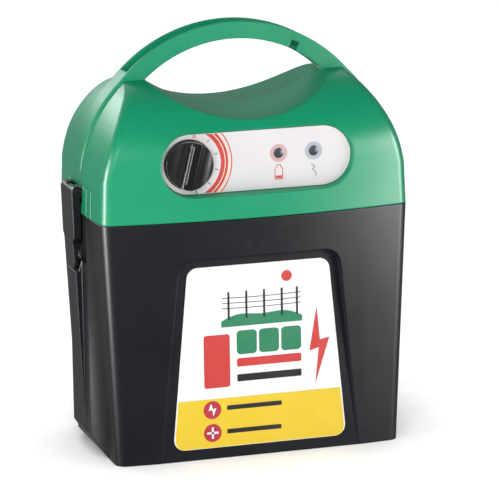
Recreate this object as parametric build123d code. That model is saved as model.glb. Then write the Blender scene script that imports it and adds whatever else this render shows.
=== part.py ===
from build123d import *
import os
from math import cos, radians, sin, sqrt

# Portable battery fence energizer. Millimetres. X is the width, with the maker's left side at -X,
# the front panel faces -Y and the handle is up, +Z. The origin is the middle of the underside.

# ---------------------------------------------------------------- driving dimensions
CASE_HALF_WIDTH_LOW = 112.0  # corner of the battery box at the ground
CASE_HALF_WIDTH_HIGH = 119.3  # corner at the parting line
CASE_HALF_DEPTH_LOW = 63.5
CASE_HALF_DEPTH_HIGH = 65.4
FRONT_BOW_LOW = 5.3  # how far the front and back bulge past their corners
FRONT_BOW_HIGH = 10.2
SIDE_BOW_LOW = 0.6
SIDE_BOW_HIGH = 3.8
PARTING_Z = 186.0
CORNER_RADIUS = 8.0
WALL = 2.6
FLOOR = 3.0

LID_GAP = 0.4  # visible joint line between box and lid
SHOULDER_Z = 218.0  # the upright skirt of the lid ends here and the arch begins
CROWN_Z = 284.0  # the top of the lid body, at the roots of the handle
SHOULDER_HALF_WIDTH = 118.0
SHOULDER_HALF_DEPTH = 65.5
SHOULDER_BOW = 8.5
BOW_FADE = 9  # the bulge of the front dies out quickly above the panel
CROWN_HALF_WIDTH = 86.0
CROWN_CORNER_RADIUS = 6.0
CURL_Z = 232.0  # above this the front and back of the lid curl in to the handle
HANDLE_HALF_DEPTH = 10.5
HANDLE_TOP_Z = 324.5
HANDLE_RADIUS = 120.0
GRIP_HALF_WIDTH = 70.0  # the lens-shaped opening under the handle
GRIP_LOW_Z = 262.0  # the saddle under the hand, on the middle plane
GRIP_HIGH_Z = 311.5
GRIP_CORNER_Z = 284.5
SADDLE_FALL = 0.067  # the saddle falls away to the front and back by this slope
HANDLE_WALL = 2.5

PANEL_Z = 228.0
PANEL_LENGTH = 149.0
PANEL_HEIGHT = 46.0
PANEL_THICKNESS = 1.2
PANEL_SEAT_Y = -63.8
KNOB_X, KNOB_Z = -53.2, 228.6
KNOB_RADIUS = 18.9
KNOB_DRUM_TOP = 11.0
KNOB_BAR_TOP = 13.3
KNOB_BAR_WIDTH = 8.4
KNOB_REST_ANGLE = 14.0  # the grip bar leans this far to the right at "off"
LIGHT_X = (17.5, 45.0)
LIGHT_Z = 232.0
LIGHT_RADIUS = 3.8
SHAFT_RADIUS = 3.0
RUNNING = 0.05  # radial clearance of a turning shaft

LATCH_PIN_X, LATCH_PIN_Z = 125.8, 202.5
LATCH_PIN_RADIUS = 1.5
LATCH_HALF_WIDTH = 17.0
TONGUE_HALF_WIDTH = 12.0
LATCH_BOTTOM_Z = 142.0
LAND_X = 122.8  # the upright land on each side of the box, behind the latch

COVER_Z = 190.0
COVER_THICKNESS = 2.2
COVER_TOP = COVER_Z + COVER_THICKNESS
COVER_SCREWS = [(-104, -50), (104, -50), (-104, 50), (104, 50)]
BOARD_SCREWS = [(-78, 208), (78, 208), (-78, 248), (78, 248)]
BOARD_Y = -54.0
BOARD_THICKNESS = 1.6
TERMINAL_X = 46.0
TERMINAL_Z = 206.5
TERMINAL_PAD_Y = 76.0
STUD_RADIUS = 3.0
STUD_TIP_RADIUS = 2.5
STUD_FRONT_Y = 58.0
STUD_NECK_Y = 95.2
STUD_END_Y = 102.0
SOCKET_Z = 206.5
SOCKET_CAP_Y = 80.0
CAP_HINGE_Z = SOCKET_Z + 14.6
CAP_PIN_RADIUS = 0.8

BATTERY = (190.0, 124.0, 156.0)
BATTERY_POST_X = 78.0

os.makedirs("parts", exist_ok=True)


# ---------------------------------------------------------------- helpers
def blend(low, high, share):
    return low + (high - low) * share


def box(x0, x1, y0, y1, z0, z1):
    return Pos((x0 + x1) / 2, (y0 + y1) / 2, (z0 + z1) / 2) * Box(x1 - x0, y1 - y0, z1 - z0)


def rod_y(radius, x, z, y0, y1):
    """A round bar along Y."""
    return Pos(x, (y0 + y1) / 2, z) * Rot(90, 0, 0) * Cylinder(radius, abs(y1 - y0))


def rod_z(radius, x, y, z0, z1):
    return Pos(x, y, (z0 + z1) / 2) * Cylinder(radius, z1 - z0)


def front_view(points):
    """A face in the XZ plane from a list of corner points and of (start, middle, end) arcs."""
    edges = []
    for i, item in enumerate(points):
        end = item
        if len(item) == 3:
            edges.append(ThreePointArc(*[(x, 0, z) for x, z in item]))
            end = item[2]
        following = points[(i + 1) % len(points)]
        first = following[0] if len(following) == 3 else following
        if (end[0] - first[0]) ** 2 + (end[1] - first[1]) ** 2 > 1e-8:
            edges.append(Line((end[0], 0, end[1]), (first[0], 0, first[1])))
    return make_face(Wire(edges))


def along_y(face, y0, y1):
    """A front-view face made solid from y0 to y1."""
    return extrude(Pos(0, y0, 0) * face, y1 - y0, dir=(0, 1, 0))


def plan_outline(z, half_width, half_depth, front_bow, side_bow, radius):
    """Outline of the casing at one height: four bowed sides with rounded corners."""
    a, b = half_width, half_depth
    corners = [(a, -b), (a, b), (-a, b), (-a, -b)]
    middles = [(a + side_bow, 0), (0, b + front_bow), (-a - side_bow, 0), (0, -b - front_bow)]
    sides = [ThreePointArc(corners[i], middles[i], corners[(i + 1) % 4]) for i in range(4)]
    face = make_face(Wire(sides))
    return Pos(0, 0, z) * fillet(face.vertices(), radius)


def both_sides(part):
    """The part and its mirror image across the middle plane."""
    return part + mirror(part, Plane.YZ)


def save(part, name):
    solids = part.solids()
    shape = solids[0] if len(solids) == 1 else Compound(children=list(solids))
    export_step(shape, f"parts/{name}.step")


# ---------------------------------------------------------------- battery box
def case_outline(z, inset=0.0):
    share = z / PARTING_Z
    return plan_outline(
        z,
        blend(CASE_HALF_WIDTH_LOW, CASE_HALF_WIDTH_HIGH, share) - inset,
        blend(CASE_HALF_DEPTH_LOW, CASE_HALF_DEPTH_HIGH, share) - inset,
        blend(FRONT_BOW_LOW, FRONT_BOW_HIGH, share),
        blend(SIDE_BOW_LOW, SIDE_BOW_HIGH, share),
        CORNER_RADIUS - inset,
    )


PILLAR_TOP = (127.9, 141.0)  # outer face of the pillar, x and z
PILLAR_LOW = (123.2, 17.0)
LAND_HALF_WIDTH = 26.5
FLARE_HALF_WIDTH = 46.0


def land():
    """The upright land of the right side, which grows out of the tapering wall as it goes down."""

    def section(z, root_x, wall_x):
        near, far = -FLARE_HALF_WIDTH, FLARE_HALF_WIDTH
        bend = blend(wall_x, root_x, 0.28)
        edge = LAND_HALF_WIDTH
        lines = [
            Line((100, near), (wall_x, near)),
            ThreePointArc((wall_x, near), (bend, -36), (root_x, -edge)),
            Line((root_x, -edge), (root_x, edge)),
            ThreePointArc((root_x, edge), (bend, 36), (wall_x, far)),
            Line((wall_x, far), (100, far)),
            Line((100, far), (100, near)),
        ]
        return Pos(0, 0, z) * make_face(Wire(lines))

    return loft([section(0, LAND_X, 111.4), section(PARTING_Z, LAND_X, 120.4)], ruled=True)


def pillar():
    """The rib that carries on down from the latch, deep at the top and almost flush at the bottom."""
    profile = front_view([(115, 0), (PILLAR_LOW[0] - 0.7, 0), PILLAR_LOW, PILLAR_TOP,
                          (125.3, 141.3), (LAND_X - 0.5, 152), (115, 152)])
    return along_y(profile, -TONGUE_HALF_WIDTH, TONGUE_HALF_WIDTH)


LABEL_TOP_Z = 157.0
LABEL_FIELD_Y = -66.0


def label_recess():
    """A flat sunken field on the front for the label, open at the bottom, with rounded upper corners."""
    face = front_view([(-78.6, -1), (78.6, -1), (62.5, LABEL_TOP_Z), (-62.5, LABEL_TOP_Z)])
    top = [v for v in face.vertices() if v.Z > 100]
    face = fillet(top, 13)
    return along_y(face, -100, LABEL_FIELD_Y)


def make_base_shell():
    outer = loft([case_outline(0), case_outline(PARTING_Z)], ruled=True)
    outer += both_sides(land() + pillar())
    # The foot of the land and pillar slants in to the underside.
    foot = front_view([(111.8, -1), (140, -1), (140, 22), (126.5, 22), (122.8, 16.0), (112.2, 0)])
    outer -= both_sides(along_y(foot, -80, 80))
    outer &= box(-140, 140, -90, 90, 0, PARTING_Z)
    cavity = loft([case_outline(FLOOR, WALL), case_outline(PARTING_Z + 1, WALL)], ruled=True)
    outer -= cavity
    # Wall behind the sunken label field, then the field itself.
    seat = box(-84, 84, LABEL_FIELD_Y - 8, LABEL_FIELD_Y + WALL, 0, LABEL_TOP_Z + 5)
    outer += seat & loft([case_outline(0), case_outline(PARTING_Z)], ruled=True)
    outer -= label_recess()
    # The pillars are hollow inside.
    core = front_view([(100, 22), (119.5, 22), (124.6, 136), (100, 136)])
    outer -= both_sides(along_y(core, -9.4, 9.4))
    # Rim that the lid drops over.
    rim = loft([case_outline(180, WALL - 0.2), case_outline(192, WALL + 0.55)], ruled=True)
    rim_hole = loft([case_outline(179, WALL + 1.9), case_outline(193, WALL + 2.2)], ruled=True)
    ledge = rim - rim_hole
    upper = loft([case_outline(PARTING_Z, WALL + 0.35), case_outline(192, WALL + 1.0)], ruled=True)
    ledge = (ledge & box(-140, 140, -90, 90, 179, PARTING_Z)) + (upper - rim_hole)
    outer += ledge
    # Finger hollow behind the latch tongue, and the catch bar that the latch hooks under.
    outer -= both_sides(box(120.6, 140, -LAND_HALF_WIDTH, LAND_HALF_WIDTH, 150, 161.0))
    bar = front_view([(119, 161.0), (125.6, 161.0), (125.6, 163.4), (123.2, 166.4), (119, 166.4)])
    outer += both_sides(along_y(bar, -10, 10))
    # Ribs on the floor that keep the battery from sliding.
    for x in (-97.5, 97.5):
        outer += box(x - 1, x + 1, -45, 45, FLOOR - 0.5, 22)
    return outer


def make_front_label():
    """Printed film on the floor of the sunken field."""
    face = front_view([(-69.2, 8.8), (68.5, 8.8), (55.4, 149.4), (-55.6, 149.4)])
    face = fillet(face.vertices(), 8.5)
    return along_y(face, LABEL_FIELD_Y - 0.6, LABEL_FIELD_Y)


# ---------------------------------------------------------------- lid
def arc_circle(p1, p2, p3):
    """Centre and radius of the circle through three points."""
    (x1, y1), (x2, y2), (x3, y3) = p1, p2, p3
    d = 2 * (x1 * (y2 - y3) + x2 * (y3 - y1) + x3 * (y1 - y2))
    s1, s2, s3 = x1**2 + y1**2, x2**2 + y2**2, x3**2 + y3**2
    cx = (s1 * (y2 - y3) + s2 * (y3 - y1) + s3 * (y1 - y2)) / d
    cy = (s1 * (x3 - x2) + s2 * (x1 - x3) + s3 * (x2 - x1)) / d
    return cx, cy, sqrt((x1 - cx) ** 2 + (y1 - cy) ** 2)


ARCH_MIDDLE = (108.3, 250.0)
ARCH_CX, ARCH_CZ, ARCH_R = arc_circle(
    (SHOULDER_HALF_WIDTH, SHOULDER_Z), ARCH_MIDDLE, (CROWN_HALF_WIDTH, CROWN_Z)
)
CURL_POWER = 1.95
CROWN_BOW = 0.3


def arch_half_width(z):
    return ARCH_CX + sqrt(ARCH_R**2 - (z - ARCH_CZ) ** 2)


def arch_outline(z, half_depth, inset, radius):
    share = (half_depth - HANDLE_HALF_DEPTH) / (SHOULDER_HALF_DEPTH - HANDLE_HALF_DEPTH)
    return plan_outline(
        z - inset * (1 - share) * 0.9,
        arch_half_width(z) - inset,
        half_depth - inset,
        blend(CROWN_BOW, SHOULDER_BOW, share**BOW_FADE),
        0.8 + 3.0 * share,
        radius,
    )


def lid_skirt(inset):
    """The upright lower part of the lid, and its top outline."""
    low_z = PARTING_Z + LID_GAP - inset
    low = plan_outline(
        low_z, CASE_HALF_WIDTH_HIGH - inset, CASE_HALF_DEPTH_HIGH - inset,
        FRONT_BOW_HIGH, SIDE_BOW_HIGH, CORNER_RADIUS - inset,
    )
    high = arch_outline(SHOULDER_Z, SHOULDER_HALF_DEPTH, inset, CORNER_RADIUS - inset)
    return loft([low, high], ruled=True), high


def lid_form(inset):
    """Outer form of the lid body, or its hollow when inset by the wall thickness."""
    skirt, high = lid_skirt(inset)
    sections = [high, arch_outline(225, SHOULDER_HALF_DEPTH, inset, CORNER_RADIUS - inset)]
    for angle in (0, 15, 30, 45, 60, 75, 90):
        up = sin(radians(angle)) ** (2 / CURL_POWER)
        out = cos(radians(angle)) ** (2 / CURL_POWER) if angle < 90 else 0.0
        radius = blend(CROWN_CORNER_RADIUS, CORNER_RADIUS, out) - inset * 0.6
        depth = blend(HANDLE_HALF_DEPTH, SHOULDER_HALF_DEPTH, out)
        sections.append(arch_outline(blend(CURL_Z, CROWN_Z, up), depth, inset, radius))
    return skirt + loft(sections)


HANDLE_CENTRE_Z = HANDLE_TOP_Z - HANDLE_RADIUS
UNDERSIDE_RISE = GRIP_HIGH_Z - GRIP_CORNER_Z
UNDERSIDE_RADIUS = (GRIP_HALF_WIDTH**2 + UNDERSIDE_RISE**2) / (2 * UNDERSIDE_RISE)
UNDERSIDE_CENTRE_Z = GRIP_HIGH_Z - UNDERSIDE_RADIUS
SADDLE_SAG = GRIP_CORNER_Z - GRIP_LOW_Z
SADDLE_RADIUS = (GRIP_HALF_WIDTH**2 + SADDLE_SAG**2) / (2 * SADDLE_SAG)


def saddle_cutter(wall=0.0):
    """The round scoop of the saddle, falling away on both sides of the middle plane."""
    disc = Pos(0, 0, GRIP_LOW_Z + SADDLE_RADIUS) * Rot(90, 0, 0) * Circle(SADDLE_RADIUS + wall)
    front = extrude(disc, 95, dir=(0, -1, -SADDLE_FALL))
    back = extrude(disc, 95, dir=(0, 1, -SADDLE_FALL))
    return front + back


def grip_cutter():
    """The opening under the handle, between the handle's underside and the saddle."""
    return saddle_cutter() & rod_y(UNDERSIDE_RADIUS, 0, UNDERSIDE_CENTRE_Z, -95, 95)


SPINE_FOOT = (122.1, 217.0)
SPINE_MIDDLE = (110.9, 256.0)
HANDLE_ROOT_X = 90.3
HANDLE_ROOT_Z = HANDLE_CENTRE_Z + sqrt(HANDLE_RADIUS**2 - HANDLE_ROOT_X**2)


def handle_and_spine():
    """The handle bow, which runs on down each shoulder as a low spine."""
    root, foot, mid = (HANDLE_ROOT_X, HANDLE_ROOT_Z), SPINE_FOOT, SPINE_MIDDLE
    outline = front_view([
        (foot, mid, root),
        (root, (0, HANDLE_TOP_Z), (-root[0], root[1])),
        ((-root[0], root[1]), (-mid[0], mid[1]), (-foot[0], foot[1])),
        (-100, 217), (-100, 240), (-60, 262), (60, 262), (100, 240), (100, 217),
    ])
    return along_y(outline, -HANDLE_HALF_DEPTH, HANDLE_HALF_DEPTH)


def handle_trough():
    """The handle is an open channel from above, with a closed floor over the grip."""
    reach = 83.0
    floor_radius = UNDERSIDE_RADIUS + HANDLE_WALL
    floor_centre = UNDERSIDE_CENTRE_Z
    floor_z = floor_centre + sqrt(floor_radius**2 - reach**2)
    face = front_view([
        ((-reach, floor_z), (0, floor_centre + floor_radius), (reach, floor_z)),
        (reach, HANDLE_TOP_Z + 5), (-reach, HANDLE_TOP_Z + 5),
    ])
    depth = HANDLE_HALF_DEPTH - HANDLE_WALL
    return along_y(face, -depth, depth)


def stadium(length, height):
    """A face in the XZ plane, round at both ends, about the origin."""
    r = height / 2
    half = length / 2 - r
    return front_view([
        (-half, -r), ((half, -r), (half + r, 0), (half, r)), ((-half, r), (-half - r, 0), (-half, -r)),
    ])


def make_lid_shell():
    body = lid_form(0) + handle_and_spine()
    body -= grip_cutter()
    body -= handle_trough()
    under_saddle = saddle_cutter(WALL)
    body -= lid_form(WALL) - under_saddle
    # Two low steps in the skirt on each side of the latch.
    for reach, lift in ((38.0, 0.25), (28.0, 0.5)):
        step = box(100, 130, -reach, reach, PARTING_Z + LID_GAP, 207)
        body += both_sides((lid_skirt(-lift)[0] - lid_skirt(WALL)[0]) & step)
    # Seat behind the sunken front panel, and the pads that carry the latches.
    inside = lid_form(0.5)
    seat = stadium(PANEL_LENGTH + 12, PANEL_HEIGHT + 12)
    seat = Pos(0, 0, PANEL_Z) * along_y(seat, -80, PANEL_SEAT_Y + WALL)
    pads = both_sides(box(113, 130, -22, 22, 193, LATCH_PIN_Z + 14))
    body += (seat + pads) & (inside - under_saddle)
    sunken = Pos(0, PANEL_SEAT_Y, PANEL_Z) * extrude(
        stadium(PANEL_LENGTH, PANEL_HEIGHT), 16, dir=(0, -1, 0), taper=-5
    )
    body -= sunken
    # Latch pockets and the lugs that carry the latch pins.
    pocket = box(120.4, 140, -LATCH_HALF_WIDTH - 0.8, LATCH_HALF_WIDTH + 0.8, LATCH_PIN_Z - 8, LATCH_PIN_Z)
    pocket += rod_y(5.6, LATCH_PIN_X, LATCH_PIN_Z, -LATCH_HALF_WIDTH - 0.8, LATCH_HALF_WIDTH + 0.8)
    body -= both_sides(pocket)
    lug = rod_y(3.2, LATCH_PIN_X, LATCH_PIN_Z, -7.6, 7.6)
    lug += box(117, LATCH_PIN_X, -7.6, 7.6, LATCH_PIN_Z - 2.1, LATCH_PIN_Z + 2.1)
    lug -= rod_y(LATCH_PIN_RADIUS, LATCH_PIN_X, LATCH_PIN_Z, -9, 9)
    body += both_sides(lug)
    # Drain hole in the near wall of the handle.
    body -= Pos(48, -HANDLE_HALF_DEPTH, 303.6) * Rot(0, 27, 0) * Box(6.4, 4 * HANDLE_WALL, 6.4)
    # Flat pads, stud holes and the socket hole at the back.
    for x in (-TERMINAL_X, TERMINAL_X):
        body += rod_y(12, x, TERMINAL_Z, 66, TERMINAL_PAD_Y)
        body -= rod_y(STUD_RADIUS, x, TERMINAL_Z, 60, 90)
    body += rod_y(13, 0, SOCKET_Z, 68, 78)
    body -= rod_y(8, 0, SOCKET_Z, 60, 90)
    # Ears that carry the socket cap.
    for side in (-1, 1):
        ear = box(-1.1, 1.1, 70, SOCKET_CAP_Y + 2.8, CAP_HINGE_Z - 2.2, CAP_HINGE_Z + 2.2)
        pin_hole = Rot(0, 90, 0) * Cylinder(CAP_PIN_RADIUS + RUNNING, 5)
        ear -= Pos(0, SOCKET_CAP_Y + 1.0, CAP_HINGE_Z) * pin_hole
        body += Pos(side * 5.4, 0, 0) * ear
    # Holes for the switch bush and the lights.
    body -= rod_y(5.0, KNOB_X, KNOB_Z, -70, -58)
    for x in LIGHT_X:
        body -= rod_y(LIGHT_RADIUS + 0.2, x, LIGHT_Z, -70, -58)
    # Pillars for the cover screws and posts for the circuit board.
    for x, y in COVER_SCREWS:
        column = rod_z(4.5, x, y, COVER_Z + COVER_THICKNESS, CROWN_Z) & inside
        body += column - rod_z(1.4, x, y, COVER_Z, COVER_Z + 16)
    for x, z in BOARD_SCREWS:
        post = rod_y(3.6, x, z, -80, BOARD_Y) & inside
        body += post - rod_y(1.1, x, z, BOARD_Y - 6, BOARD_Y)
    return body


def make_front_panel():
    plate = Pos(0, 0, PANEL_Z) * along_y(
        stadium(PANEL_LENGTH - 0.8, PANEL_HEIGHT - 0.8), PANEL_SEAT_Y - PANEL_THICKNESS, PANEL_SEAT_Y
    )
    plate -= rod_y(5.0, KNOB_X, KNOB_Z, -70, -60)
    for x in LIGHT_X:
        plate -= rod_y(LIGHT_RADIUS + 0.1, x, LIGHT_Z, -70, -60)
    return plate


def make_light(x):
    """Light pipe with a domed face, standing on the board."""
    face_y = PANEL_SEAT_Y - PANEL_THICKNESS
    pipe = rod_y(LIGHT_RADIUS, x, LIGHT_Z, face_y - 0.2, BOARD_Y)
    dome = Pos(x, face_y - 0.2 + 8.0, LIGHT_Z) * Sphere(sqrt(8.0**2 + LIGHT_RADIUS**2))
    return pipe + (dome & rod_y(LIGHT_RADIUS, x, LIGHT_Z, face_y - 2, face_y))


# ---------------------------------------------------------------- knob and switch
KNOB_BACK_Y = PANEL_SEAT_Y - PANEL_THICKNESS - 0.6


def turned_knob(part):
    """From the knob's own axes (Z along its shaft, Y up) to its place on the panel at "off"."""
    return Pos(KNOB_X, KNOB_BACK_Y, KNOB_Z) * Rot(90, 0, 0) * Rot(0, 0, -KNOB_REST_ANGLE) * part


def make_selector_knob():
    """A round knob cut away on both sides of a raised grip bar, which leans a little to the right."""
    skirt = Pos(0, 0, 1.2) * Cylinder(KNOB_RADIUS, 2.4)
    drum_height = KNOB_DRUM_TOP - 2.2
    drum = Pos(0, 0, 2.2 + drum_height / 2) * Cone(KNOB_RADIUS - 0.5, KNOB_RADIUS - 1.1, drum_height)
    drum = fillet(drum.faces().sort_by(Axis.Z)[-1].edges(), 1.2)
    body = skirt + drum
    # Each side is hollowed from the bar's foot down to the rim.
    for side in (-1, 1):
        body -= Pos(side * 20.5, 0, 27.6) * Rot(90, 0, 0) * Cylinder(22.0, 60)
    bar = Pos(0, 0, (4.0 + KNOB_BAR_TOP) / 2) * Box(KNOB_BAR_WIDTH, 2 * KNOB_RADIUS, KNOB_BAR_TOP - 4.0)
    bar = fillet(bar.faces().sort_by(Axis.Z)[-1].edges().filter_by(Axis.Y), 1.0)
    body += bar & (Pos(0, 0, 8) * Cylinder(KNOB_RADIUS - 1.3, 16))
    body -= pointer_line(1.0)
    body -= Pos(0, 0, 4) * Cylinder(SHAFT_RADIUS, 9)
    return turned_knob(body)


def pointer_line(depth):
    """The line let into the bar's top, from its middle to its tip."""
    return Pos(-2.4, 1.0, KNOB_BAR_TOP - 0.5 + depth / 2) * Box(0.9, 29, depth)


def make_knob_pointer():
    return turned_knob(pointer_line(0.5))


SWITCH_BACK_Y = -34.0


def make_switch_shaft():
    return rod_y(SHAFT_RADIUS, KNOB_X, KNOB_Z, KNOB_BACK_Y - 8.5, SWITCH_BACK_Y - 4)


def make_rotary_switch():
    body = box(KNOB_X - 13, KNOB_X + 13, BOARD_Y + BOARD_THICKNESS, SWITCH_BACK_Y, KNOB_Z - 13, KNOB_Z + 13)
    body += rod_y(4.8, KNOB_X, KNOB_Z, -63.5, BOARD_Y + BOARD_THICKNESS)
    for k in range(6):
        angle = radians(30 + 24 * k)
        x, z = KNOB_X + 10 * cos(angle), KNOB_Z - 10 * sin(angle)
        body += box(x - 0.6, x + 0.6, SWITCH_BACK_Y - 0.5, SWITCH_BACK_Y + 4, z - 0.6, z + 0.6)
    return body - rod_y(SHAFT_RADIUS + RUNNING, KNOB_X, KNOB_Z, -70, SWITCH_BACK_Y - 3.5)


# ---------------------------------------------------------------- latches
LATCH_FACE = [(130.6, LATCH_PIN_Z), (129.7, 166.0), (128.2, LATCH_BOTTOM_Z + 1)]
LATCH_BACK_X = 123.9


def make_latch():
    """Right-hand latch: hangs on a pin in the lid and hooks under the catch bar of the box."""
    plate = front_view([
        (LATCH_BACK_X, LATCH_PIN_Z), *LATCH_FACE, (125.8, LATCH_BOTTOM_Z), (125.8, 158.0),
        (LATCH_BACK_X, 158.0),
    ])
    body = along_y(plate, -LATCH_HALF_WIDTH, LATCH_HALF_WIDTH)
    body += rod_y(4.8, LATCH_PIN_X, LATCH_PIN_Z, -LATCH_HALF_WIDTH, LATCH_HALF_WIDTH)
    # Side view of the latch: wide at the top, a narrow rounded tongue at the bottom.
    w, t = LATCH_HALF_WIDTH, TONGUE_HALF_WIDTH
    top, low = LATCH_PIN_Z + 5.5, LATCH_BOTTOM_Z
    corners = [(-w, 168), (-w, top), (w, top), (w, 168), (t, 163), (t, low), (-t, low), (-t, 163)]
    outline = Plane.YZ * make_face(Polyline(*corners, close=True))
    outline = fillet(outline.vertices().filter_by(lambda v: v.Z > LATCH_PIN_Z), 4.0)
    outline = fillet(outline.vertices().filter_by(lambda v: v.Z < 145), 7.0)
    body &= extrude(Pos(110, 0, 0) * outline, 30, dir=(1, 0, 0))
    # Pocket over the catch bar, the bar's hook below it, and the notch for the lid's lug.
    body -= box(120, 126.4, -10.8, 10.8, 160.4, 184)
    notch = rod_y(3.7, LATCH_PIN_X, LATCH_PIN_Z, -8.1, 8.1)
    notch += box(115, LATCH_PIN_X, -8.1, 8.1, LATCH_PIN_Z - 10.5, LATCH_PIN_Z + 10)
    notch += box(LATCH_PIN_X - 0.1, LATCH_PIN_X + 2.6, -8.1, 8.1, LATCH_PIN_Z, LATCH_PIN_Z + 10)
    body -= notch
    body -= rod_y(LATCH_PIN_RADIUS + RUNNING, LATCH_PIN_X, LATCH_PIN_Z, -16, 16)
    return body


def make_latch_pin():
    return rod_y(LATCH_PIN_RADIUS, LATCH_PIN_X, LATCH_PIN_Z, -15.8, 15.8)


# ---------------------------------------------------------------- inside the lid
def make_inner_cover():
    """Tray that closes the electronics off from the battery box."""
    edge = CASE_HALF_WIDTH_HIGH - WALL - 3.0
    plate = plan_outline(COVER_Z, edge, CASE_HALF_DEPTH_HIGH - WALL - 3.0, 10.2, 3.6, 4.0)
    body = extrude(plate, COVER_THICKNESS, dir=(0, 0, 1))
    for x, y in COVER_SCREWS:
        body -= rod_z(1.8, x, y, COVER_Z - 1, COVER_Z + 5)
    for x in (-BATTERY_POST_X, BATTERY_POST_X):
        body -= rod_z(3.4, x, 0, COVER_Z - 1, COVER_Z + 5)
    # Stiffening ribs underneath.
    for y in (-32, 32):
        body += box(-96, 96, y - 1, y + 1, COVER_Z - 4, COVER_Z)
    return body


def make_cover_screws():
    screws = []
    for x, y in COVER_SCREWS:
        head = rod_z(3.2, x, y, COVER_Z - 2.0, COVER_Z)
        screws.append(head + rod_z(1.4, x, y, COVER_Z - 0.1, COVER_Z + 12))
    return Compound(children=[s.solid() for s in screws])


def make_circuit_board():
    board = box(-88, 88, BOARD_Y, BOARD_Y + BOARD_THICKNESS, 200, 252)
    board -= rod_y(5.2, KNOB_X, KNOB_Z, -60, -50)
    for x, z in BOARD_SCREWS:
        board -= rod_y(1.6, x, z, -60, -50)
    return board


def make_board_screws():
    back = BOARD_Y + BOARD_THICKNESS
    screws = []
    for x, z in BOARD_SCREWS:
        screws.append(rod_y(2.8, x, z, back, back + 1.8) + rod_y(1.1, x, z, back, BOARD_Y - 5))
    return Compound(children=[s.solid() for s in screws])


def make_transformer_core():
    """E-core of the pulse transformer, lying on the cover, with its two windows."""
    core = box(20, 70, -20, 24, COVER_TOP, COVER_TOP + 40)
    for x in (28, 52):
        core -= box(x, x + 10, -25, 30, COVER_TOP + 7, COVER_TOP + 33)
    return core


def make_transformer_winding():
    coil = box(28.4, 61.6, -30, 34, COVER_TOP + 7.4, COVER_TOP + 32.6)
    coil = fillet(coil.edges().filter_by(Axis.Z), 6)
    return coil - box(37.8, 52.2, -20.2, 24.2, COVER_TOP, COVER_TOP + 40)


def make_storage_capacitor():
    can = Pos(-52, 14, COVER_TOP + 18.2) * Rot(90, 0, 0) * Cylinder(17.5, 52)
    return chamfer(can.edges().filter_by(GeomType.CIRCLE), 1.0)


def make_capacitor_clip():
    """Saddle that holds the big capacitor down on the cover."""
    strap = rod_y(19.2, -52, COVER_TOP + 18.2, 4, 14) - rod_y(17.6, -52, COVER_TOP + 18.2, 3, 15)
    strap &= box(-80, -20, 0, 20, COVER_TOP + 12, COVER_TOP + 60)
    for side in (-1, 1):
        x = -52 + side * 19.4
        strap += box(x - 1.6, x + 1.6, 4, 14, COVER_TOP, COVER_TOP + 16) - rod_y(
            17.6, -52, COVER_TOP + 18.2, 3, 15
        )
    return strap


def make_filter_capacitor():
    can = rod_y(6.3, -14, 236, BOARD_Y + BOARD_THICKNESS, -30)
    return chamfer(can.edges().filter_by(GeomType.CIRCLE), 0.6)


def make_charging_coil():
    core = Pos(12, -44, 218) * Rot(90, 0, 0) * (Cylinder(11, 14) - Cylinder(5, 20))
    return fillet(core.edges().filter_by(GeomType.CIRCLE), 1.5)


def make_heat_sink():
    sink = box(40, 70, -52.4, -50.4, 206, 236)
    for x in (41, 48, 55, 62, 69):
        sink += box(x - 0.8, x + 0.8, -50.6, -38, 206, 236)
    return sink


def make_thyristor():
    return box(72.5, 77, -52.4, -42, 212, 228) + box(70, 72.5, -52.4, -44, 208, 234)


# ---------------------------------------------------------------- terminals, socket and wires
def hexagon_y(across, x, z, y0, y1):
    face = Rot(90, 0, 0) * RegularPolygon(across / sqrt(3), 6)
    return Pos(x, y0, z) * extrude(face, y1 - y0, dir=(0, 1, 0))


def make_stud(x):
    """Threaded stud with a plain tip for a push-on lead clip."""
    tip = rod_y(STUD_TIP_RADIUS, x, TERMINAL_Z, STUD_NECK_Y, STUD_END_Y)
    return rod_y(STUD_RADIUS, x, TERMINAL_Z, STUD_FRONT_Y, STUD_NECK_Y) + tip


def make_terminal_washer(x):
    y = TERMINAL_PAD_Y
    return rod_y(7.5, x, TERMINAL_Z, y, y + 1.5) - rod_y(STUD_RADIUS, x, TERMINAL_Z, y - 1, y + 3)


def make_terminal_nut(x):
    """Nut inside the lid that pulls the stud tight."""
    return hexagon_y(10, x, TERMINAL_Z, 61.0, 66.0) - rod_y(STUD_RADIUS, x, TERMINAL_Z, 58, 70)


def make_terminal_knob(x):
    """Ribbed thumb nut on the stud."""
    y = TERMINAL_PAD_Y + 2.6
    knob = rod_y(10.5, x, TERMINAL_Z, y + 3, y + 16) + rod_y(7.0, x, TERMINAL_Z, y, y + 3.2)
    for k in range(10):
        angle = radians(36 * k)
        knob -= rod_y(1.5, x + 11.2 * cos(angle), TERMINAL_Z + 11.2 * sin(angle), y + 2, y + 18)
    return knob - rod_y(STUD_RADIUS + RUNNING, x, TERMINAL_Z, y - 1, y + 20)


def make_power_socket():
    body = rod_y(8.0, 0, SOCKET_Z, 56, 78.0) + rod_y(10.5, 0, SOCKET_Z, 78.0, 79.6)
    body -= rod_y(4.0, 0, SOCKET_Z, 64, 90)
    return body + rod_y(1.0, 0, SOCKET_Z, 63, 77)


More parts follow.
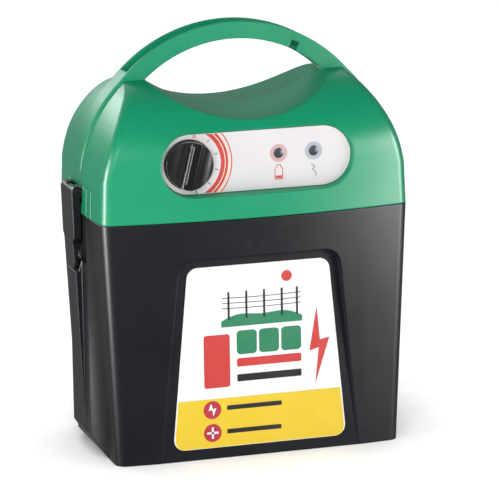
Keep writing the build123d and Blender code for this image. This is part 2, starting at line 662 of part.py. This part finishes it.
def make_socket_cap():
    """Rubber cap on a strap above the socket, with a plug that fills the mouth."""
    cap = rod_y(10.5, 0, SOCKET_Z, SOCKET_CAP_Y, SOCKET_CAP_Y + 2.6)
    cap += box(-4, 4, SOCKET_CAP_Y, SOCKET_CAP_Y + 2.0, SOCKET_Z + 6, CAP_HINGE_Z)
    cap += Pos(0, SOCKET_CAP_Y + 1.0, CAP_HINGE_Z) * Rot(0, 90, 0) * Cylinder(1.6, 8)
    cap += Pos(0, SOCKET_CAP_Y + 1.0, CAP_HINGE_Z) * Rot(0, 90, 0) * Cylinder(CAP_PIN_RADIUS, 12)
    cap += box(-3, 3, SOCKET_CAP_Y + 1.0, SOCKET_CAP_Y + 5.0, SOCKET_Z - 10.2, SOCKET_Z - 8.0)
    return cap


def tube(points, radius):
    """A wire: straight runs joined by arcs as large as the runs allow."""
    path = [Vector(*p) for p in points]
    radii = []
    for a, b, c in zip(path, path[1:], path[2:]):
        turn = (b - a).get_angle(c - b)
        shorter = min((b - a).length, (c - b).length)
        radii.append(0.45 * shorter / (sin(radians(turn / 2)) / cos(radians(turn / 2))))
    line = FilletPolyline(*points, radius=radii)
    start = Plane(origin=line @ 0, z_dir=line % 0)
    return sweep(start * Circle(radius), path=line)


CONNECTOR_LOW_Z = 166.0
FENCE_WIRE = [(36, 34, 214), (36, 42, 214), (24, 49, 220), (4, 50, 224), (-18, 48, 219), (-35, 46, 212),
              (-TERMINAL_X, 50.5, TERMINAL_Z), (-TERMINAL_X, 58, TERMINAL_Z)]
EARTH_WIRE = [(54, 34, 214), (54, 42, 214), (50, 48, 211), (TERMINAL_X, 51.5, TERMINAL_Z),
              (TERMINAL_X, 58, TERMINAL_Z)]


def make_battery_wire(side):
    """From the board down through the cover to the push-on connector."""
    x = side * BATTERY_POST_X
    return tube(
        [(x + side * 4, BOARD_Y + BOARD_THICKNESS, 218), (x + side * 4, -40, 218), (x + side * 5, -22, 213),
         (x + side * 3, -6, 203), (x, 0, 191), (x, 0, 181)],
        1.6,
    )


def make_connector(side):
    """Insulated push-on socket over the battery post."""
    x = side * BATTERY_POST_X
    body = rod_z(7.0, x, 0, CONNECTOR_LOW_Z, 181)
    body = fillet(body.faces().sort_by(Axis.Z)[-1].edges(), 2.0)
    return body - rod_z(4.35, x, 0, CONNECTOR_LOW_Z - 1, 174)


# ---------------------------------------------------------------- battery
def make_battery_case():
    length, depth, height = BATTERY
    case = Pos(0, 0, FLOOR + height / 2) * Box(length, depth, height)
    case = fillet(case.edges().filter_by(Axis.Z), 5)
    lid = Pos(0, 0, FLOOR + height + 1.0) * Box(length - 8, depth - 8, 2.0)
    return case + fillet(lid.edges().filter_by(Axis.Z), 4)


def make_battery_post(side):
    x = side * BATTERY_POST_X
    top = FLOOR + BATTERY[2] + 2
    post = rod_z(8.0, x, 0, top, top + 3) + rod_z(4.0, x, 0, top + 3, top + 11)
    return chamfer(post.faces().sort_by(Axis.Z)[-1].edges(), 0.8)


# ---------------------------------------------------------------- write every sub-part
def main():
    save(make_base_shell(), "base_shell")
    save(make_front_label(), "front_label")
    save(make_battery_case(), "battery_case")
    save(make_battery_post(1), "battery_post_positive")
    save(make_battery_post(-1), "battery_post_negative")
    save(make_lid_shell(), "lid_shell")
    save(make_front_panel(), "front_panel")
    save(make_light(LIGHT_X[0]), "low_battery_light")
    save(make_light(LIGHT_X[1]), "pulse_light")
    save(make_selector_knob(), "selector_knob")
    save(make_knob_pointer(), "knob_pointer")
    save(make_switch_shaft(), "switch_shaft")
    save(make_rotary_switch(), "rotary_switch")
    latch, pin = make_latch(), make_latch_pin()
    save(latch, "latch_right")
    save(mirror(latch, Plane.YZ), "latch_left")
    save(pin, "latch_pin_right")
    save(mirror(pin, Plane.YZ), "latch_pin_left")
    save(make_inner_cover(), "inner_cover")
    save(make_cover_screws(), "cover_screws")
    save(make_circuit_board(), "circuit_board")
    save(make_board_screws(), "board_screws")
    save(make_transformer_core(), "transformer_core")
    save(make_transformer_winding(), "transformer_winding")
    save(make_storage_capacitor(), "storage_capacitor")
    save(make_capacitor_clip(), "capacitor_clip")
    save(make_filter_capacitor(), "filter_capacitor")
    save(make_charging_coil(), "charging_coil")
    save(make_heat_sink(), "heat_sink")
    save(make_thyristor(), "thyristor")
    for name, x in (("fence", -TERMINAL_X), ("earth", TERMINAL_X)):
        save(make_stud(x), f"{name}_stud")
        save(make_terminal_washer(x), f"{name}_washer")
        save(make_terminal_nut(x), f"{name}_nut")
        save(make_terminal_knob(x), f"{name}_terminal_knob")
    save(make_power_socket(), "power_socket")
    save(make_socket_cap(), "socket_cap")
    save(make_battery_wire(1), "red_battery_wire")
    save(make_battery_wire(-1), "black_battery_wire")
    save(tube(FENCE_WIRE, 1.5), "fence_wire")
    save(tube(EARTH_WIRE, 1.5), "earth_wire")
    save(make_connector(1), "positive_connector")
    save(make_connector(-1), "negative_connector")


main()
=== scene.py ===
import math
import bpy
from mathutils import Matrix, Vector


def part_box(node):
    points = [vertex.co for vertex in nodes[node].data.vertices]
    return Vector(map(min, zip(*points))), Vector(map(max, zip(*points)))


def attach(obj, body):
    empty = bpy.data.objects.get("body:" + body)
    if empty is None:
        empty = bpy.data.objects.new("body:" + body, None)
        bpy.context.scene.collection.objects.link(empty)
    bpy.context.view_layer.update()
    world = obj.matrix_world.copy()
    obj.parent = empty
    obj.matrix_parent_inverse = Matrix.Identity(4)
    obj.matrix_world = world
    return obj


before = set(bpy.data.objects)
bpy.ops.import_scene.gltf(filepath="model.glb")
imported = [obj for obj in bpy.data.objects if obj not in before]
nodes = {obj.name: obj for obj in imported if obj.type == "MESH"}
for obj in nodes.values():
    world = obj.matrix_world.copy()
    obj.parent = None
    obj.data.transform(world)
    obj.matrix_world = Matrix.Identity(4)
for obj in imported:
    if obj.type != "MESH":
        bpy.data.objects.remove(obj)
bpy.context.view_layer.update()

scene = bpy.context.scene

# ---------------------------------------------------------------- places taken from the CAD, in metres
panel_lo, panel_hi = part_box("front_panel")
label_lo, label_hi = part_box("front_label")
knob_lo, knob_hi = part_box("selector_knob")
PANEL_Y = panel_lo.y
PANEL_Z = (panel_lo.z + panel_hi.z) / 2
PANEL_END = (panel_hi.z - panel_lo.z) / 2
LABEL_Y = label_lo.y
KNOB_X, KNOB_Z = (knob_lo.x + knob_hi.x) / 2, (knob_lo.z + knob_hi.z) / 2


def light_centre(node):
    lo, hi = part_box(node)
    return (lo.x + hi.x) / 2, (lo.z + hi.z) / 2


# ---------------------------------------------------------------- camera
def look_at(location, target, roll_degrees):
    back = (Vector(location) - Vector(target)).normalized()
    turn = back.to_track_quat("Z", "Y").to_matrix() @ Matrix.Rotation(math.radians(roll_degrees), 3, "Z")
    return Matrix.Translation(location) @ turn.to_4x4()


LENS_MM = 230.9
SENSOR_MM = 36.0
CAMERA_PLACE = (-0.692, -2.308, 0.693)
CAMERA_TARGET = (0.0139, 0.0, 0.1441)
CAMERA_ROLL = -0.84
camera_data = bpy.data.cameras.new("camera")
camera = bpy.data.objects.new("camera", camera_data)
scene.collection.objects.link(camera)
camera_data.lens = LENS_MM
camera_data.sensor_width = SENSOR_MM
camera_data.clip_start, camera_data.clip_end = 0.05, 60.0
camera.matrix_world = look_at(CAMERA_PLACE, CAMERA_TARGET, CAMERA_ROLL)
scene.camera = camera

# ---------------------------------------------------------------- light
ROOM_COLOUR = (0.95, 0.97, 1.0, 1)
ROOM_STRENGTH = 0.30
scene.view_settings.view_transform = "Standard"
world = bpy.data.worlds.new("studio")
scene.world = world
world.use_nodes = True
room = world.node_tree.nodes["Background"]
room.inputs["Color"].default_value = ROOM_COLOUR
room.inputs["Strength"].default_value = ROOM_STRENGTH


def softbox(name, location, target, width, height, power):
    data = bpy.data.lights.new(name, "AREA")
    data.shape, data.size, data.size_y = "RECTANGLE", width, height
    data.energy = power
    lamp = bpy.data.objects.new(name, data)
    scene.collection.objects.link(lamp)
    lamp.matrix_world = look_at(location, target, 0)
    lamp.visible_camera = False
    return lamp


softbox("key", (-0.9, -2.1, 0.95), (0, 0, 0.16), 1.2, 1.0, 33)
softbox("back_top", (0.2, 1.5, 1.6), (0, 0, 0.2), 1.4, 0.7, 4)
# Reflector cards that only show as gloss. From the front they give the right of the box a haze, the
# left side's upright edges a line and the left shoulder a sheen. From the sides and from behind they
# glare white on the lid, where it is seen at a grazing angle.
for card in (
    softbox("right_card", (0.62, -0.53, 0.22), (0.10, 0, 0.14), 0.24, 0.42, 15),
    softbox("left_card", (-0.62, -0.14, 0.17), (-0.1, 0, 0.12), 0.05, 0.32, 11),
    softbox("shoulder_card", (-0.70, 1.15, 0.80), (-0.1, 0, 0.22), 0.60, 0.44, 11),
):
    card.visible_diffuse = False


# ---------------------------------------------------------------- material helpers
# Noise scales are in cycles per metre, and depths and edge radii are in metres.
FLOW_SCALE = 14
SCUFF_SCALE = 170
PRINT_DOT_SCALE = 1800
PEEL_SCALE = 40
DRAWN_LINE_SCALE = 900
TARNISH_SCALE = 60
METAL_EDGE = 0.0002
COAT_ROUGHNESS = 0.12


def socket(node, name, value):
    node.inputs[name].default_value = value


def material(name):
    made = bpy.data.materials.new(name)
    made.use_nodes = True
    tree = made.node_tree
    return made, tree, tree.nodes["Principled BSDF"]


def coordinates(tree, stretch=(1, 1, 1)):
    place = tree.nodes.new("ShaderNodeTexCoord")
    mapping = tree.nodes.new("ShaderNodeMapping")
    socket(mapping, "Scale", stretch)
    tree.links.new(place.outputs["Object"], mapping.inputs["Vector"])
    return mapping.outputs["Vector"]


def noise(tree, vector, scale, detail=3.0, roughness=0.55):
    made = tree.nodes.new("ShaderNodeTexNoise")
    socket(made, "Scale", scale)
    socket(made, "Detail", detail)
    socket(made, "Roughness", roughness)
    tree.links.new(vector, made.inputs["Vector"])
    return made.outputs["Fac"]


def spread(tree, value, low, high, source=(0.3, 0.7)):
    made = tree.nodes.new("ShaderNodeMapRange")
    socket(made, "From Min", source[0])
    socket(made, "From Max", source[1])
    socket(made, "To Min", low)
    socket(made, "To Max", high)
    tree.links.new(value, made.inputs["Value"])
    return made.outputs["Result"]


def two_tone(tree, value, dark, light):
    made = tree.nodes.new("ShaderNodeMix")
    made.data_type = "RGBA"
    made.inputs[6].default_value = (*dark, 1)
    made.inputs[7].default_value = (*light, 1)
    tree.links.new(value, made.inputs[0])
    return made.outputs[2]


def bump(tree, height, strength, distance, normal=None):
    made = tree.nodes.new("ShaderNodeBump")
    socket(made, "Strength", strength)
    socket(made, "Distance", distance)
    tree.links.new(height, made.inputs["Height"])
    if normal is not None:
        tree.links.new(normal, made.inputs["Normal"])
    return made.outputs["Normal"]


def soft_edges(tree, radius):
    made = tree.nodes.new("ShaderNodeBevel")
    made.samples = 6
    socket(made, "Radius", radius)
    return made.outputs["Normal"]


def moulded(name, colour, roughness, grain=2600, grain_depth=0.00002, vary=0.06, edge=0.0006, coat=0.0,
            specular=0.5):
    """Moulded plastic: a spark-eroded grain, slow flow marks and faint handling scuffs."""
    made, tree, shader = material(name)
    place = coordinates(tree)
    slow = noise(tree, place, FLOW_SCALE, 4)
    fine = noise(tree, place, grain, 2)
    scuff = noise(tree, place, SCUFF_SCALE, 5, 0.7)
    dark = tuple(c * (1 - vary) for c in colour)
    light = tuple(min(1.0, c * (1 + vary)) for c in colour)
    tree.links.new(two_tone(tree, spread(tree, slow, 0, 1), dark, light), shader.inputs["Base Color"])
    rough = tree.nodes.new("ShaderNodeMath")
    rough.operation = "ADD"
    tree.links.new(spread(tree, slow, roughness - 0.03, roughness + 0.03), rough.inputs[0])
    tree.links.new(spread(tree, scuff, 0.0, 0.07, (0.5, 0.8)), rough.inputs[1])
    tree.links.new(rough.outputs[0], shader.inputs["Roughness"])
    normal = soft_edges(tree, edge) if edge else None
    normal = bump(tree, slow, 0.08, 0.0008, normal)
    tree.links.new(bump(tree, fine, 0.35, grain_depth, normal), shader.inputs["Normal"])
    socket(shader, "Specular IOR Level", specular)
    if coat:
        socket(shader, "Coat Weight", coat)
        socket(shader, "Coat Roughness", COAT_ROUGHNESS)
    return made


def printed(name, colour, roughness=0.38):
    """Ink on film: an even colour with a fine print grain and a slight orange-peel."""
    made, tree, shader = material(name)
    place = coordinates(tree)
    dots = noise(tree, place, PRINT_DOT_SCALE, 2)
    slow = noise(tree, place, PEEL_SCALE, 3)
    dark = tuple(c * 0.955 for c in colour)
    light = tuple(min(1.0, c * 1.02) for c in colour)
    tree.links.new(two_tone(tree, spread(tree, dots, 0, 1), dark, light), shader.inputs["Base Color"])
    tree.links.new(spread(tree, slow, roughness - 0.05, roughness + 0.06), shader.inputs["Roughness"])
    tree.links.new(bump(tree, slow, 0.06, 0.0002), shader.inputs["Normal"])
    return made


def metal(name, colour, roughness, stretch=(1, 1, 1)):
    """Plated or drawn metal with fine lines along the drawing direction."""
    made, tree, shader = material(name)
    place = coordinates(tree, stretch)
    lines = noise(tree, place, DRAWN_LINE_SCALE, 4, 0.7)
    slow = noise(tree, place, TARNISH_SCALE, 3)
    dark = tuple(c * 0.8 for c in colour)
    tree.links.new(two_tone(tree, spread(tree, slow, 0, 1), dark, colour), shader.inputs["Base Color"])
    tree.links.new(spread(tree, lines, roughness - 0.08, roughness + 0.1), shader.inputs["Roughness"])
    tree.links.new(bump(tree, lines, 0.15, 0.00002, soft_edges(tree, METAL_EDGE)), shader.inputs["Normal"])
    socket(shader, "Metallic", 1.0)
    return made


def paint(node, made):
    nodes[node].data.materials.clear()
    nodes[node].data.materials.append(made)


GREEN = (0.002, 0.305, 0.142)
CHARCOAL = (0.0022, 0.0034, 0.0068)
lid_green = moulded("lid_green", GREEN, 0.36, vary=0.05, edge=0.0016, specular=0.28)
box_black = moulded("box_black", CHARCOAL, 0.40, grain=2200, vary=0.12, edge=0.0016, specular=0.30)
latch_black = moulded("latch_black", (0.004, 0.005, 0.007), 0.34, vary=0.12, edge=0.0014,
                      specular=0.30)
knob_black = moulded("knob_black", (0.006, 0.006, 0.007), 0.20, vary=0.15, grain_depth=0.000004,
                     specular=0.35)
rubber_black = moulded("rubber_black", (0.018, 0.018, 0.019), 0.62, grain=3600, vary=0.12, edge=0.0004)
socket_black = moulded("socket_black", (0.012, 0.012, 0.013), 0.45, vary=0.1, edge=0.0004)
red_moulded = moulded("red_moulded", (0.50, 0.012, 0.014), 0.30, vary=0.07, edge=0.0005, coat=0.2)
green_moulded = moulded("green_moulded", (0.008, 0.20, 0.07), 0.30, vary=0.07, edge=0.0005, coat=0.2)
battery_blue = moulded("battery_blue", (0.035, 0.055, 0.16), 0.38, vary=0.08, edge=0.0010)
grey_mark = printed("grey_mark", (0.15, 0.15, 0.155))
red_cable = moulded("red_cable", (0.42, 0.015, 0.012), 0.42, vary=0.08, edge=0)
black_cable = moulded("black_cable", (0.015, 0.015, 0.016), 0.45, vary=0.1, edge=0)
steel = metal("steel", (0.62, 0.62, 0.60), 0.30, (1, 0.1, 1))
lead = metal("lead", (0.36, 0.36, 0.38), 0.48)
aluminium = metal("aluminium", (0.72, 0.73, 0.75), 0.34, (1, 1, 0.1))
core_steel = metal("core_steel", (0.20, 0.20, 0.22), 0.45, (1, 6, 1))
copper = metal("copper", (0.62, 0.26, 0.12), 0.36, (0.1, 1, 8))
board_green = moulded("board_green", (0.012, 0.13, 0.05), 0.32, vary=0.2, edge=0)
sleeve_blue = moulded("sleeve_blue", (0.02, 0.04, 0.16), 0.25, vary=0.1, edge=0.0004, coat=0.4)

for look, painted in (
    (lid_green, ["lid_shell"]),
    (box_black, ["base_shell", "inner_cover"]),
    (latch_black, ["latch_left", "latch_right"]),
    (knob_black, ["selector_knob"]),
    (grey_mark, ["knob_pointer"]),
    (socket_black, ["rotary_switch", "thyristor", "power_socket", "negative_connector"]),
    (rubber_black, ["socket_cap"]),
    (steel, ["switch_shaft", "latch_pin_left", "latch_pin_right", "cover_screws", "board_screws",
             "capacitor_clip", "fence_stud", "fence_washer", "fence_nut", "earth_stud", "earth_washer",
             "earth_nut"]),
    (board_green, ["circuit_board"]),
    (core_steel, ["transformer_core"]),
    (copper, ["transformer_winding", "charging_coil"]),
    (sleeve_blue, ["storage_capacitor", "filter_capacitor"]),
    (aluminium, ["heat_sink"]),
    (red_moulded, ["fence_terminal_knob", "positive_connector"]),
    (green_moulded, ["earth_terminal_knob"]),
    (red_cable, ["red_battery_wire", "fence_wire"]),
    (black_cable, ["black_battery_wire", "earth_wire"]),
    (battery_blue, ["battery_case"]),
    (lead, ["battery_post_positive", "battery_post_negative"]),
):
    for node_name in painted:
        paint(node_name, look)


# ---------------------------------------------------------------- printed films
# Each layer of ink is one film thick and is tucked slightly into what it lies on.
FILM = 0.00008
TUCK = 0.00001


def disc(x, z, radius, steps=48):
    angles = [2 * math.pi * k / steps for k in range(steps)]
    return [(x + radius * math.cos(angle), z + radius * math.sin(angle)) for angle in angles]


def bar(x0, x1, z0, z1, radius=0.0):
    """A rectangle with rounded corners, as an outline."""
    points = []
    for cx, cz, start in ((x1 - radius, z1 - radius, 0), (x0 + radius, z1 - radius, 90),
                          (x0 + radius, z0 + radius, 180), (x1 - radius, z0 + radius, 270)):
        steps = 6 if radius else 0
        for k in range(steps + 1):
            angle = math.radians(start + 90 * k / max(1, steps))
            points.append((cx + radius * math.cos(angle), cz + radius * math.sin(angle)))
    return points


def centred_bar(x, z, width, height):
    return bar(x - width / 2, x + width / 2, z - height / 2, z + height / 2)


def turned(points, degrees, centre):
    c, s = math.cos(math.radians(degrees)), math.sin(math.radians(degrees))
    return [(centre[0] + (x - centre[0]) * c - (z - centre[1]) * s,
             centre[1] + (x - centre[0]) * s + (z - centre[1]) * c) for x, z in points]


def ring(x, z, inner, outer, start=0.0, end=360.0, steps=64, limit=None):
    """Quads of a band. A limit is the middle height and half height of the strip that it stays in."""
    rows = []
    for radius in (inner, outer):
        a, b = start, end
        if limit is not None:
            centre_z, half = limit
            a = max(a, -math.degrees(math.asin(min(1.0, (half + z - centre_z) / radius))))
            b = min(b, math.degrees(math.asin(min(1.0, (half - z + centre_z) / radius))))
        angles = [math.radians(a + (b - a) * k / steps) for k in range(steps + 1)]
        rows.append([(x + radius * math.cos(angle), z + radius * math.sin(angle)) for angle in angles])
    return [[rows[0][k], rows[1][k], rows[1][k + 1], rows[0][k + 1]] for k in range(steps)]


def stroke(points, width):
    """Quads along a line of points."""
    quads = []
    for (x0, z0), (x1, z1) in zip(points, points[1:]):
        length = math.hypot(x1 - x0, z1 - z0)
        nx, nz = -(z1 - z0) / length * width / 2, (x1 - x0) / length * width / 2
        quads.append([(x0 + nx, z0 + nz), (x0 - nx, z0 - nz), (x1 - nx, z1 - nz), (x1 + nx, z1 + nz)])
    return quads


def print_layer(name, shapes, y, look, body, layer):
    """Thin ink shapes lying on a film whose face is at y, in the given layer of ink."""
    verts, faces = [], []
    front, back = y - FILM * layer, y - FILM * (layer - 1) - TUCK
    for shape in shapes:
        area = sum(a[0] * b[1] - b[0] * a[1] for a, b in zip(shape, shape[1:] + shape[:1]))
        outline = shape if area > 0 else shape[::-1]
        start = len(verts)
        n = len(outline)
        verts += [(px, front, pz) for px, pz in outline]
        verts += [(px, back, pz) for px, pz in outline]
        faces.append([start + k for k in range(n)])
        for k in range(n):
            after = (k + 1) % n
            faces.append([start + after, start + k, start + n + k, start + n + after])
    mesh = bpy.data.meshes.new(name)
    mesh.from_pydata(verts, [], faces)
    mesh.update()
    mesh.materials.append(look)
    piece = bpy.data.objects.new(name, mesh)
    scene.collection.objects.link(piece)
    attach(piece, body)


def on_panel(name, shapes, look, layer=1):
    print_layer(name, shapes, PANEL_Y, look, "lid", layer)


def on_label(name, shapes, look, layer=1):
    print_layer(name, shapes, LABEL_Y, look, "base", layer)


ink_red = printed("ink_red", (0.62, 0.035, 0.028))
ink_deep_red = printed("ink_deep_red", (0.50, 0.02, 0.05))
ink_cream = printed("ink_cream", (0.80, 0.66, 0.56))
ink_green = printed("ink_green", (0.01, 0.23, 0.10))
ink_grey_green = printed("ink_grey_green", (0.09, 0.20, 0.16))
ink_black = printed("ink_black", (0.012, 0.012, 0.013))
ink_yellow = printed("ink_yellow", (0.83, 0.58, 0.012))
ink_white = printed("ink_white", (0.88, 0.88, 0.88))
ink_pink = printed("ink_pink", (0.60, 0.36, 0.36))
ink_blue_grey = printed("ink_blue_grey", (0.40, 0.45, 0.50))
panel_film = printed("panel_film", (0.70, 0.665, 0.67), 0.42)
label_film = printed("label_film", (0.86, 0.87, 0.87), 0.36)
smoked_lens = moulded("smoked_lens", (0.045, 0.055, 0.065), 0.30, vary=0.2, grain_depth=0.000002,
                      edge=0.0003, specular=0.25)
paint("front_panel", panel_film)
paint("front_label", label_film)
paint("low_battery_light", smoked_lens)
paint("pulse_light", smoked_lens)

# ---------------------------------------------------------------- print on the panel
PANEL_STRIP = (PANEL_Z, PANEL_END - 0.0004)
BAND_SWEEP = 70
CREAM_BANDS = ((0.0286, 0.0294), (0.0313, 0.0336))
RED_BANDS = ((0.0256, 0.0286), (0.0294, 0.0312), (0.0336, 0.0344))
OFF_ANGLE = 76
STEP_ANGLE = 30
STEP_COUNT = 5
OFF_DISTANCE = 0.0212
STEP_DISTANCE = 0.0228
STEP_LENGTH, STEP_WIDTH = 0.0022, 0.0008
LIGHT_RING = (0.0040, 0.0068)
SIGN_DROP = 0.0145
SIGN_LINE = 0.0006


def bands(radii):
    """Bands round the selector knob, cut off at the edge of the panel."""
    return [quad for inner, outer in radii
            for quad in ring(KNOB_X, KNOB_Z, inner, outer, -BAND_SWEEP, BAND_SWEEP, limit=PANEL_STRIP)]


def on_dial(distance, degrees):
    angle = math.radians(degrees)
    return KNOB_X + distance * math.cos(angle), KNOB_Z + distance * math.sin(angle)


def sign(points, middle):
    return stroke([(middle[0] + x, middle[1] + z) for x, z in points], SIGN_LINE)


on_panel("panel_bands_cream", bands(CREAM_BANDS), ink_cream)
on_panel("panel_bands_red", bands(RED_BANDS), ink_red, 2)

# Off mark and step marks of the selector.
on_panel("panel_off_mark", ring(*on_dial(OFF_DISTANCE, OFF_ANGLE), 0.0007, 0.0012, steps=24), ink_red)
marks = []
for k in range(1, STEP_COUNT + 1):
    mark_angle = OFF_ANGLE - STEP_ANGLE * k
    mark = on_dial(STEP_DISTANCE, mark_angle)
    marks.append(turned(centred_bar(*mark, STEP_LENGTH, STEP_WIDTH), mark_angle, mark))
on_panel("panel_step_marks", marks, ink_grey_green)

# Rings round the two lights, and the sign below each.
battery_x, battery_z = light_centre("low_battery_light")
pulse_x, pulse_z = light_centre("pulse_light")
on_panel("ring_low_battery", ring(battery_x, battery_z, *LIGHT_RING), ink_pink)
on_panel("ring_pulse", ring(pulse_x, pulse_z, *LIGHT_RING), ink_blue_grey)
sign_z = battery_z - SIGN_DROP
battery_half = [(0.0030, -0.0052), (0.0030, 0.0026), (0.0013, 0.0044), (0.0013, 0.0056)]
battery = [(-0.0030, -0.0052), *battery_half, *((-x, z) for x, z in reversed(battery_half))]
charge = bar(battery_x - 0.0024, battery_x + 0.0024, sign_z - 0.0046, sign_z - 0.0026)
on_panel("sign_battery", sign(battery, (battery_x, sign_z)) + [charge], ink_red)
zigzag = [(-0.0022, 0.0050), (0.0008, 0.0022), (-0.0010, 0.0004), (0.0018, -0.0024), (0.0014, -0.0048)]
on_panel("sign_pulse", sign(zigzag, (pulse_x, sign_z)), ink_grey_green)

# ---------------------------------------------------------------- label print, all of it generic
LABEL_HEIGHT = label_hi.z - label_lo.z
LABEL_RADIUS = 0.0085
LEFT_LEAN, RIGHT_LEAN = 0.0136, 0.0131
INK_MARGIN = 0.0002
YELLOW_FOOT = label_lo.z + 0.0003
YELLOW_TOP = 0.0470
EDGE_STEPS = 30
CORNER_CROWDING = 1.6

MEADOW_LEFT, MEADOW_RIGHT = -0.030, 0.034
MEADOW_FOOT, MEADOW_SHOULDER = 0.1020, 0.1065
MEADOW_SWELL, MEADOW_RIPPLE = 0.0055, 0.0015
MEADOW_STEPS = 24
POSTS = (-0.024, -0.010, 0.004, 0.018, 0.030)
POST_FOOT, POST_TOP = 0.1075, 0.1290
POST_RADIUS, POST_CORNER = 0.0008, 0.0006
WIRES = (0.1165, 0.1205, 0.1245)
WIRE_LEFT, WIRE_PITCH, WIRE_STEPS = -0.029, 0.0031, 20
WIRE_SAG, WIRE_WIDTH = 0.0006, 0.0005

BLOCK_LEFT, BLOCK_RIGHT = -0.0180, 0.0330
TILE_PITCH, TILE_WIDTH = 0.0176, 0.0158
NOTE_LEFT = -0.0265
DISC_X, UPPER_DISC_Z, LOWER_DISC_Z = -0.0380, 0.0385, 0.0205
DISC_RADIUS = 0.0070
CROSS_LENGTH, CROSS_WIDTH = 0.0090, 0.0016


def label_edge(z, low_x, lean):
    """Side edge of the label film at a height, on the side where low_x is its lower corner."""
    rise = z - label_lo.z
    outward = math.copysign(1.0, low_x)
    x = low_x - outward * lean * rise / LABEL_HEIGHT
    if rise < LABEL_RADIUS:
        x -= outward * (LABEL_RADIUS - math.sqrt(max(0.0, LABEL_RADIUS**2 - (LABEL_RADIUS - rise) ** 2)))
    return x


def meadow_top(share):
    ripple = MEADOW_RIPPLE * math.sin(3 * math.pi * share)
    return (MEADOW_LEFT + (MEADOW_RIGHT - MEADOW_LEFT) * share,
            MEADOW_SHOULDER + MEADOW_SWELL * math.sin(math.pi * share) + ripple)


def fence_wire_line(z):
    return [(WIRE_LEFT + WIRE_PITCH * k, z - WIRE_SAG * math.sin(math.pi * k / WIRE_STEPS))
            for k in range(WIRE_STEPS + 1)]


# The heights crowd together at the foot, where the corners are round.
heights = [YELLOW_FOOT + (YELLOW_TOP - YELLOW_FOOT) * (k / EDGE_STEPS) ** CORNER_CROWDING
           for k in range(EDGE_STEPS + 1)]
yellow = [(label_edge(z, label_hi.x, RIGHT_LEAN) - INK_MARGIN, z) for z in heights]
yellow += [(label_edge(z, label_lo.x, LEFT_LEAN) + INK_MARGIN, z) for z in reversed(heights)]
on_label("label_yellow", [yellow], ink_yellow)

# A meadow with a three-wire fence and a sun.
meadow = [(MEADOW_LEFT, MEADOW_FOOT), (MEADOW_RIGHT, MEADOW_FOOT)]
meadow += [meadow_top(k / MEADOW_STEPS) for k in reversed(range(MEADOW_STEPS + 1))]
on_label("label_meadow", [meadow], ink_green)
fence = [bar(x - POST_RADIUS, x + POST_RADIUS, POST_FOOT, POST_TOP, POST_CORNER) for x in POSTS]
for wire_z in WIRES:
    fence += stroke(fence_wire_line(wire_z), WIRE_WIDTH)
on_label("label_fence", fence, ink_black, 2)
on_label("label_sun", [disc(0.022, 0.1380, 0.0042)], ink_red)

# Plain colour blocks, a bolt and two round signs.
on_label("label_block_red", [bar(-0.0440, -0.0235, 0.0555, 0.0965, 0.0022),
                             bar(BLOCK_LEFT, BLOCK_RIGHT, 0.0705, 0.0770, 0.0014)], ink_red)
tile_lefts = [BLOCK_LEFT + TILE_PITCH * k for k in range(3)]
on_label("label_block_green", [bar(x, x + TILE_WIDTH, 0.0800, 0.0985, 0.0030) for x in tile_lefts], ink_green)
on_label("label_block_black", [bar(BLOCK_LEFT, BLOCK_RIGHT, 0.0590, 0.0645, 0.0010),
                               bar(NOTE_LEFT, 0.0170, 0.0375, 0.0410, 0.0008),
                               bar(NOTE_LEFT, 0.0165, 0.0190, 0.0225, 0.0008)], ink_black, 2)
bolt = [(0.0455, 0.1120), (0.0395, 0.0780), (0.0470, 0.0800), (0.0440, 0.0520), (0.0555, 0.0875),
        (0.0480, 0.0860)]
on_label("label_bolt", [bolt], ink_red, 2)
on_label("label_discs", [disc(DISC_X, z, DISC_RADIUS) for z in (UPPER_DISC_Z, LOWER_DISC_Z)], ink_deep_red, 2)
small_bolt = [(-0.0390, 0.0435), (-0.0412, 0.0380), (-0.0383, 0.0386), (-0.0372, 0.0335),
              (-0.0349, 0.0398), (-0.0377, 0.0392)]
on_label("label_disc_signs", [small_bolt, centred_bar(DISC_X, LOWER_DISC_Z, CROSS_WIDTH, CROSS_LENGTH),
                              centred_bar(DISC_X, LOWER_DISC_Z, CROSS_LENGTH, CROSS_WIDTH)], ink_white, 3)

# ---------------------------------------------------------------- floor
FLOOR_SIZE = 40
PAPER_DARK, PAPER_LIGHT = (0.86, 0.86, 0.86), (0.90, 0.90, 0.90)
WASH_STRENGTH, WASH_ANGLE = 2.6, 1.2
bpy.ops.mesh.primitive_plane_add(size=FLOOR_SIZE, location=(0, 0, 0))
floor = bpy.context.object
floor.name = "floor"
floor_look, floor_tree, floor_shader = material("floor_paper")
floor_grain = spread(floor_tree, noise(floor_tree, coordinates(floor_tree), 25, 3), 0, 1)
floor_tree.links.new(two_tone(floor_tree, floor_grain, PAPER_DARK, PAPER_LIGHT),
                     floor_shader.inputs["Base Color"])
socket(floor_shader, "Roughness", 0.9)
socket(floor_shader, "Specular IOR Level", 0.1)
floor.data.materials.append(floor_look)
floor.visible_glossy = False

# A lamp that only brightens the paper, so that it stays white under the low studio light.
paper = bpy.data.collections.new("paper")
paper.objects.link(floor)
wash_data = bpy.data.lights.new("paper_wash", "SUN")
wash_data.energy, wash_data.angle = WASH_STRENGTH, WASH_ANGLE
wash = bpy.data.objects.new("paper_wash", wash_data)
scene.collection.objects.link(wash)
wash.light_linking.receiver_collection = paper
